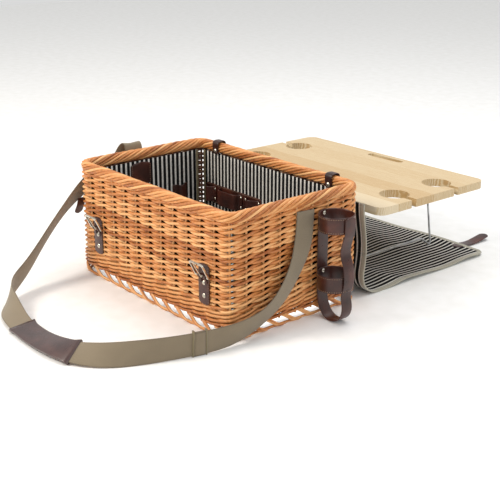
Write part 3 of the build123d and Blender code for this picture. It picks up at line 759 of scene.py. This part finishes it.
def cover_strip(name, start, end, last):
    """One strip of the cover from length start to end, bound along its sides and its last edge."""
    s = np.linspace(start, end, int(round((end - start) / (9 * MM))) + 1)
    if last:
        s = np.r_[s[s < end - 13 * MM], end - np.array([12, 9, 6, 3.5, 1.6, 0.5, 0]) * MM]
    inset = np.array([0, 0.5, 1.6, 6, 12]) * MM
    gap = np.maximum(COVER_END - s, 0)
    round_off = np.clip(COVER_CORNER - gap, 0, None)
    half = COVER_HALF - COVER_CORNER + np.sqrt(np.maximum(COVER_CORNER ** 2 - round_off ** 2, 0))
    inner = np.linspace(-1, 1, 47)[1:-1]
    x = np.concatenate([-half[:, None] + inset[None, :], (half - BIND)[:, None] * inner[None, :],
                        half[:, None] - inset[None, ::-1]], axis=1)
    S = np.broadcast_to(s[:, None], x.shape)
    grid = cover_place(S, x)
    rim_gap = np.minimum(half[:, None] - np.abs(x), gap[:, None] if last else 1.0)
    thick = np.interp(rim_gap, [0, 0.5 * MM, 1.6 * MM, 11 * MM, 12.5 * MM],
                      [0.3 * MM, 1.2 * MM, 1.8 * MM, 1.8 * MM, 1.0 * MM])
    columns = x.shape[1]

    def pick(row, column, back):
        bound = column < 4 or column >= columns - 5 or (last and COVER_END - s[row] < 12.5 * MM)
        return 1 if bound else 0

    fields = {"along": np.tile(S.ravel(), 2), "across": np.tile(np.zeros(x.size), 2)}
    return cloth_sheet(name, grid, thick, [cover_ticking, binding_tape], pick, None, "cover_cloth", fields)


hung = cover_strip("cover_cloth_hung", 0, 120 * MM, False)
folded = cover_strip("cover_cloth_folded", 120 * MM, 350 * MM, False)
laid = cover_strip("cover_cloth_laid", 350 * MM, COVER_END, True)
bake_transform(hung)
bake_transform(folded)
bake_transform(laid)
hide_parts("cover_neck")
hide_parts("cover_back", "cover_top")
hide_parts("cover_front")
print("cover done")

# %% [markdown]
# Leather straps are cut flat and bent, so one soft line through a few corners makes each one,
# and the band maker gives it thickness and rounded edges. Tips are rounded by narrowing the
# last points of the line.

# %% Leather strip helpers
LEATHER = 2.5 * MM


def soft_line(corners, steps=7):
    """A smooth line through a few corners, in metres, that keeps its two ends."""
    corners = np.asarray(corners, float)
    halves = (corners[1:] + corners[:-1]) / 2
    starts = np.concatenate([corners[:1], halves[1:-1], corners[-1:]]) if len(corners) > 2 else corners
    line = [corners[0]]
    for k in range(1, len(corners) - 1):
        a, b, c = starts[k - 1], corners[k], starts[k]
        for step in range(1, steps + 1):
            t = step / steps
            line.append(a * (1 - t) ** 2 + b * 2 * t * (1 - t) + c * t * t)
    return np.array(line)


def even_line(line, count):
    run = length_along(line)
    at = np.linspace(0, run[-1], count)
    return np.stack([np.interp(at, run, line[:, k]) for k in range(3)], -1)


def tip(line, width, at_start=False, at_end=True, sharp=0.5):
    """How much of the width is left at each point, rounded at the chosen ends."""
    run = length_along(line)
    reach = width * sharp
    share = np.ones(len(line))
    for gap, wanted in ((run, at_start), (run[-1] - run, at_end)):
        if wanted:
            share = np.minimum(share, np.sqrt(np.clip(1 - np.clip(1 - gap / reach, 0, 1) ** 2, 0.02, 1)))
    return share


def with_tips(line, width, at_start, at_end, sharp=0.5):
    """The line with extra points near the rounded ends, and the widths that go with it."""
    run = length_along(line)
    reach = width * sharp
    extra = reach * np.array([0.0, 0.02, 0.08, 0.18, 0.32, 0.5, 0.75, 1.0])
    at = list(run)
    at += list(extra) if at_start else []
    at += list(run[-1] - extra) if at_end else []
    at = np.unique(np.round(at, 6))
    line = np.stack([np.interp(at, run, line[:, k]) for k in range(3)], -1)
    return line, tip(line, width, at_start, at_end, sharp)


def leather(name, line, edge, width, body, stands_for, tips=(False, False), closed=False, thick=LEATHER,
            sharp=0.5):
    line = np.asarray(line, float)
    taper = None
    if any(tips):
        line, taper = with_tips(line, width, tips[0], tips[1], sharp)
    piece = band(name, line, edge, flat_section(width, thick), brown_leather, body, "leather", closed, taper)
    if stands_for:
        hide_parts(*stands_for)
    return piece


thread, tree, shader = new_material("waxed_linen_thread", {"Roughness": 0.6, "Sheen Weight": 0.2})
twist = put(tree, "ShaderNodeTexWave", {"Scale": 400.0, "Distortion": 1.0})
linen = ramp(tree, twist.outputs["Fac"], [(0.2, "#8E6F55"), (0.8, "#B79A7A")])
tree.links.new(linen, shader.inputs["Base Color"])
bump(tree, shader, twist.outputs["Fac"], 0.3, 0.1 * MM)


def stitches(name, runs, out, body, pitch=5.0 * MM):
    """Short thread stitches along straight or bent runs, half sunk in the leather."""
    lines, outs = [], []
    for run in runs:
        run = np.asarray(run, float)
        length = np.linalg.norm(np.diff(run, axis=0), axis=1).sum()
        points = even_line(run, max(2, 2 * int(length / pitch)))
        for a, b in zip(points[::2], points[1::2]):
            lines.append(np.stack([a + (b - a) * f for f in (0, 0.2, 0.8, 1)]))
            outs.append(np.tile(np.asarray(out, float), (4, 1)))
    return rods(name, lines, outs, 0.45 * MM, thread, body, "webbing", False, sides=5,
                thin=np.array([0.5, 1, 1, 0.5]))


print("leather tools ready")

# %% Hinge straps over the back rim
for side, sign in (("left", -1), ("right", 1)):
    x = sign * 204 * MM
    corners = [(x, 0.1667, 0.250), (x, 0.1667, 0.264), (x, 0.1660, 0.2815), (x, 0.179, 0.2835),
               (x, 0.1920, 0.2815), (x, 0.1913, 0.262), (x, 0.1913, 0.244)]
    leather(f"hinge_leather_{side}", soft_line(corners), (1, 0, 0), 22 * MM, "basket",
            [f"hinge_strap_{side}"], tips=(True, True), sharp=0.35)

# %% Front closures
for side, sign in (("left", -1), ("right", 1)):
    x = sign * 204 * MM
    line = even_line(np.array([(x, -0.18625, 0.154), (x, -0.18655, 0.110), (x, -0.18625, 0.064)]), 14)
    leather(f"tab_{side}", line, (1, 0, 0), 36 * MM, "basket", [f"closure_tab_{side}"],
            tips=(True, True), sharp=0.2)
    seams = [[(x + k * 15.2 * MM, -0.18755, 0.148), (x + k * 15.2 * MM, -0.18755, 0.070)] for k in (-1, 1)]
    stitches(f"tab_stitches_{side}", seams, (0, -1, 0), "basket")
    for k in (-1, 1):
        turn = np.radians(np.linspace(-80, 200, 15))
        loop_x = x + k * 9 * MM
        loop = [(loop_x, -0.1888, 0.1125), (loop_x, -0.1890, 0.119)]
        loop += [(loop_x, -0.1911 - 2.75 * MM * math.cos(a), 0.127 + 2.75 * MM * math.sin(a)) for a in turn]
        leather(f"bar_loop_{side}_{'a' if k < 0 else 'b'}", np.array(loop), (1, 0, 0), 9 * MM, "basket",
                [f"closure_loop_{side}"], thick=1.9 * MM)

# %% [markdown]
# The bottle holder is a long sling from the rim, round under the bottle's foot and up again,
# with two rings riveted between its legs. The rings are the same strap bent into a circle.

# %% Bottle holder
RING_RADIUS, SEAM_RADIUS = 0.03775, 0.0391     # the ring's leather, and the seams on its outside
low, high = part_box("bottle_ring_upper")
ring_x, ring_y = (low.x + high.x) / 2, (low.y + high.y) / 2
wall_leg, out_leg = 0.29055, ring_x + 0.04025
outline = [(wall_leg, 0.241), (wall_leg, 0.15), (wall_leg, 0.052), (wall_leg + 0.010, 0.016),
           (wall_leg + 0.030, 0.0022), (ring_x + 0.008, 0.0022), (out_leg - 0.011, 0.012),
           (out_leg - 0.001, 0.036), (out_leg - 0.009, 0.066), (out_leg + 0.001, 0.090),
           (out_leg + 0.001, 0.112), (out_leg - 0.002, 0.134), (out_leg - 0.014, 0.160),
           (out_leg - 0.006, 0.190), (out_leg + 0.001, 0.206), (out_leg, 0.241)]
corners = [(x, ring_y, z) for x, z in outline]
leather("bottle_sling_leather", soft_line(corners, 8), (0, 1, 0), 30 * MM, "basket", ["bottle_sling"],
        tips=(True, True), sharp=0.22)
turn = np.linspace(0, 2 * math.pi, 48, endpoint=False)
for name in ("upper", "lower"):
    low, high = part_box(f"bottle_ring_{name}")
    lift = 0.6 * MM * np.cos(2 * turn)
    rounds = ((RING_RADIUS, (low.z + high.z) / 2), (SEAM_RADIUS, low.z + 3.2 * MM),
              (SEAM_RADIUS, high.z - 3.2 * MM))
    circle, *runs = [np.stack([ring_x + r * np.cos(turn), ring_y + r * np.sin(turn), z + lift], -1)
                     for r, z in rounds]
    leather(f"ring_leather_{name}", circle, (0, 0, 1), 36 * MM, "basket", [f"bottle_ring_{name}"],
            closed=True)
    stitches(f"ring_stitches_{name}", runs, (0, 0, 1), "basket")

# %% Leather inside
def wall_strip(name, stands_for, x0, x1, y, z, width, raised):
    """A strip riveted flat to the back wall, standing off it in a loop between its rivets."""
    if raised:
        corners = [(x0, y, z), (x0 + 8, y, z), (x0 + 12, y - 3, z), (x0 + 15, y - 13, z),
                   (x0 + 24, y - 15, z), (x1 - 24, y - 15, z), (x1 - 15, y - 13, z), (x1 - 12, y - 3, z),
                   (x1 - 8, y, z), (x1, y, z)]
        if x1 - x0 < 60:
            corners = [(x0, y, z), (x0 + 8, y, z), (x0 + 13, y - 6, z), ((x0 + x1) / 2 - 4, y - 15, z),
                       ((x0 + x1) / 2 + 4, y - 15, z), (x1 - 13, y - 6, z), (x1 - 8, y, z), (x1, y, z)]
    else:
        corners = [(x0, y, z), ((x0 + x1) / 2, y, z), (x1, y, z)]
    line = soft_line(np.array(corners) * MM)
    if not raised:
        line = even_line(line, 24)
    return leather(name, line, (0, 0, 1), width, "basket", stands_for, tips=(True, True), sharp=0.12)


wall_strip("cutlery_leather", ["cutlery_band"], -250, -30, 171.75, 143, 50 * MM, False)
for count, (x0, x1) in enumerate(((-248, -206), (-198, -102), (-92, -34))):
    wall_strip(f"cutlery_loop_{count + 1}", ["cutlery_loops"], x0, x1, 169.25, 143, 40 * MM, True)
seams = [[(-0.246, 0.17045, z), (-0.034, 0.17045, z)] for z in (0.1205, 0.1655)]
stitches("cutlery_stitches", seams, (0, -1, 0), "basket")
for side, sign in (("left", -1), ("right", 1)):
    low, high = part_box(f"anchor_patch_{side}")
    x, y = (low.x + high.x) / 2, (low.y + high.y) / 2
    line = even_line(np.array([(x, y, low.z), (x, y, high.z)]), 12)
    leather(f"anchor_leather_{side}", line, (0, 1, 0), 60 * MM, "basket", [f"anchor_patch_{side}"],
            tips=(True, True), sharp=0.15)
    seams = [[(x - sign * 1.35 * MM, y + k * 26 * MM, z) for z in (low.z + 6 * MM, high.z - 6 * MM)]
             for k in (-1, 1)]
    stitches(f"anchor_stitches_{side}", seams, (1, 0, 0), "basket")
corners = [(-270.75, 79, 146), (-270.75, 87, 146), (-265, 90, 146), (-257, 94, 146), (-256.5, 101, 146),
           (-257, 108, 146), (-265, 112, 146), (-270.75, 115, 146), (-270.75, 123, 146)]
leather("side_loop_leather", soft_line(np.array(corners) * MM), (0, 0, 1), 48 * MM, "basket", ["side_loop"])

# %% Tongue on the left end
low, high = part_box("side_tongue")
y = (low.y + high.y) / 2
corners = [(high.x - 1.2 * MM, y, high.z), (high.x - 5 * MM, y, high.z - 16 * MM),
           (low.x + 9 * MM, y, low.z + 13 * MM), (low.x + 1.4 * MM, y, low.z + 0.6 * MM)]
leather("tongue_leather", soft_line(corners), (0, 1, 0), 22 * MM, "basket", ["side_tongue"],
        tips=(False, True))

# %% Closing straps at the cover's far edge
for side, sign in (("left", -1), ("right", 1)):
    x = sign * 204 * MM
    low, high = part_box(f"closing_strap_{side}")
    corners = [(x, low.y, 0.0066), (x, low.y + 0.025, 0.0068), (x, low.y + 0.045, 0.0040),
               (x, low.y + 0.07, 0.0030), (x, low.y + 0.10, 0.0075), (x, high.y, 0.0120)]
    leather(f"closing_leather_{side}", soft_line(corners), (1, 0, 0), 28 * MM, "cover_front",
            [f"closing_strap_{side}"], tips=(True, True), sharp=0.4)
print("leather done")

# %% [markdown]
# The rivets and buckles are nickel-plated steel: a bright, slightly warm mirror, softened by
# handling. The table's legs are bare spring wire, greyer and rougher.

# %% Metals
def metal(name, low, high, rough, scratch):
    material, tree, shader = new_material(name, {"Metallic": 1.0})
    place = put(tree, "ShaderNodeTexCoord").outputs["Object"]
    smear = put(tree, "ShaderNodeTexNoise", {"Scale": 60.0, "Detail": 3.0}, {"Vector": place})
    fine = put(tree, "ShaderNodeTexNoise", {"Scale": scratch, "Detail": 4.0, "Distortion": 2.0},
               {"Vector": place})
    tree.links.new(ramp(tree, smear.outputs[0], [(0.3, low), (0.7, high)]), shader.inputs["Base Color"])
    gloss = put(tree, "ShaderNodeMapRange", {1: 0.3, 2: 0.7, 3: rough, 4: rough + 0.14}, {0: fine.outputs[0]})
    tree.links.new(gloss.outputs[0], shader.inputs["Roughness"])
    bump(tree, shader, fine.outputs[0], 0.08, 0.1 * MM)
    return material


nickel = metal("nickel_plate", "#C2BBAA", "#EAE5D7", 0.18, 300.0)
spring_wire = metal("drawn_spring_wire", "#9A9B9C", "#C6C7C8", 0.30, 500.0)


def dress(node, material):
    """Gives a carried-over CAD node its material."""
    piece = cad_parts[node]
    piece.data.materials.clear()
    piece.data.materials.append(material)
    piece.data.polygons.foreach_set("material_index", [0] * len(piece.data.polygons))


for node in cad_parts:
    if "rivets" in node or "screws" in node or node.startswith(("buckle", "prong")) or node == "tongue_ring":
        dress(node, nickel)
    elif node.startswith(("leg_frame", "leg_clips")):
        dress(node, spring_wire)

# %% [markdown]
# The lid is pine: planed boards glued edge to edge, oiled but not stained. Growth rings cut
# lengthwise give long pale and darker lines, a board is about 62 mm wide, and each one has its
# own tone. The grain is noise stretched along the board's length, with a slow bend in it.

# %% Pine
BOARD_WIDTH, RING = 62 * MM, 4.5 * MM
pine, tree, shader = new_material("oiled_pine", {"Roughness": 0.5, "IOR": 1.5, "Coat Weight": 0.08,
                                                  "Coat Roughness": 0.4})
place = put(tree, "ShaderNodeTexCoord").outputs["Object"]
axes = put(tree, "ShaderNodeSeparateXYZ", links={0: place})
count = reckon(tree, "MULTIPLY", axes.outputs[1], 1 / BOARD_WIDTH)
own = put(tree, "ShaderNodeTexWhiteNoise", {"noise_dimensions": "1D"}, {"W": reckon(tree, "FLOOR", count)})
shifted = reckon(tree, "MULTIPLY_ADD", own.outputs[0], 5.3, axes.outputs[0])
stretch = put(tree, "ShaderNodeCombineXYZ", links={0: shifted, 1: axes.outputs[1], 2: axes.outputs[2]})
squeeze = put(tree, "ShaderNodeMapping", {"Scale": (0.09, 1.0, 1.0)}, {"Vector": stretch.outputs[0]})
rings = put(tree, "ShaderNodeTexWave", {"bands_direction": "Y", "Scale": 0.314 / RING, "Distortion": 7.0,
                                        "Detail": 3.0, "Detail Scale": 0.7}, {"Vector": squeeze.outputs[0]})
fibre = put(tree, "ShaderNodeTexNoise", {"Scale": 420.0, "Detail": 3.0}, {"Vector": squeeze.outputs[0]})
mix = reckon(tree, "MULTIPLY_ADD", rings.outputs["Fac"], 0.34, reckon(tree, "MULTIPLY", own.outputs[0], 0.36))
mix = reckon(tree, "MULTIPLY_ADD", fibre.outputs[0], 0.24, mix)
colour = ramp(tree, mix, [(0.16, "#DFCFB2"), (0.42, "#D6C29B"), (0.66, "#BE9C6A")])
tree.links.new(colour, shader.inputs["Base Color"])
joint = reckon(tree, "LESS_THAN", reckon(tree, "FRACT", count), 0.012)
bump(tree, shader, reckon(tree, "SUBTRACT", fibre.outputs[0], joint), 0.25, 0.2 * MM)
dress("table_board", pine)
print("metals and pine done")

# %% [markdown]
# The floor is a large pale sheet and the light is soft from above and the left, so that the
# weave's hollows go dark and its rods stay bright. A weak flat light under the base stands for
# the daylight that shows through the open foot.

# %% Floor and light
floor_material, tree, shader = new_material("studio_paper", {"Roughness": 0.9, "Specular IOR Level": 0.1})
grain = put(tree, "ShaderNodeTexNoise", {"Scale": 300.0, "Detail": 2.0})
paper = ramp(tree, grain.outputs[0], [(0.3, "#F4F4F2"), (0.7, "#FAFAF9")])
tree.links.new(paper, shader.inputs["Base Color"])
floor = finish_piece("studio_floor", [(-6, -6, 0), (6, -6, 0), (6, 6, 0), (-6, 6, 0)], [(0, 1, 2, 3)],
                     floor_material, None, None, smooth=False)


def soft_light(name, place, size, watts, colour):
    """An area light that faces the basket."""
    data = bpy.data.lights.new(name, "AREA")
    data.shape, data.size, data.energy, data.color = "DISK", size, watts, paint(colour)[:3]
    light = bpy.data.objects.new(name, data)
    light.location = place
    light.rotation_euler = (Vector((0, 0.05, 0.1)) - Vector(place)).to_track_quat("-Z", "Y").to_euler()
    bpy.context.scene.collection.objects.link(light)


soft_light("key_light", (-1.2, -2.6, 2.6), 1.4, 76, "#FFF6EA")
soft_light("fill_light", (2.8, -0.6, 1.8), 2.0, 9, "#F3F6FF")
soft_light("top_light", (0.2, 1.2, 3.2), 2.4, 45, "#FFFFFF")
under = bpy.data.lights.new("light_under_foot", "AREA")
under.shape, under.size, under.size_y, under.energy = "RECTANGLE", 0.50, 0.30, 1.3
under_light = bpy.data.objects.new("light_under_foot", under)
under_light.location = (0, 0, 0.022)
under_light.visible_camera = False
bpy.context.scene.collection.objects.link(under_light)
world = bpy.data.worlds.new("studio")
bpy.context.scene.world = world
world.use_nodes = True
world.node_tree.nodes["Background"].inputs[0].default_value = paint("#FFFFFF")
world.node_tree.nodes["Background"].inputs[1].default_value = 0.7
bpy.context.scene.view_settings.view_transform = "Standard"
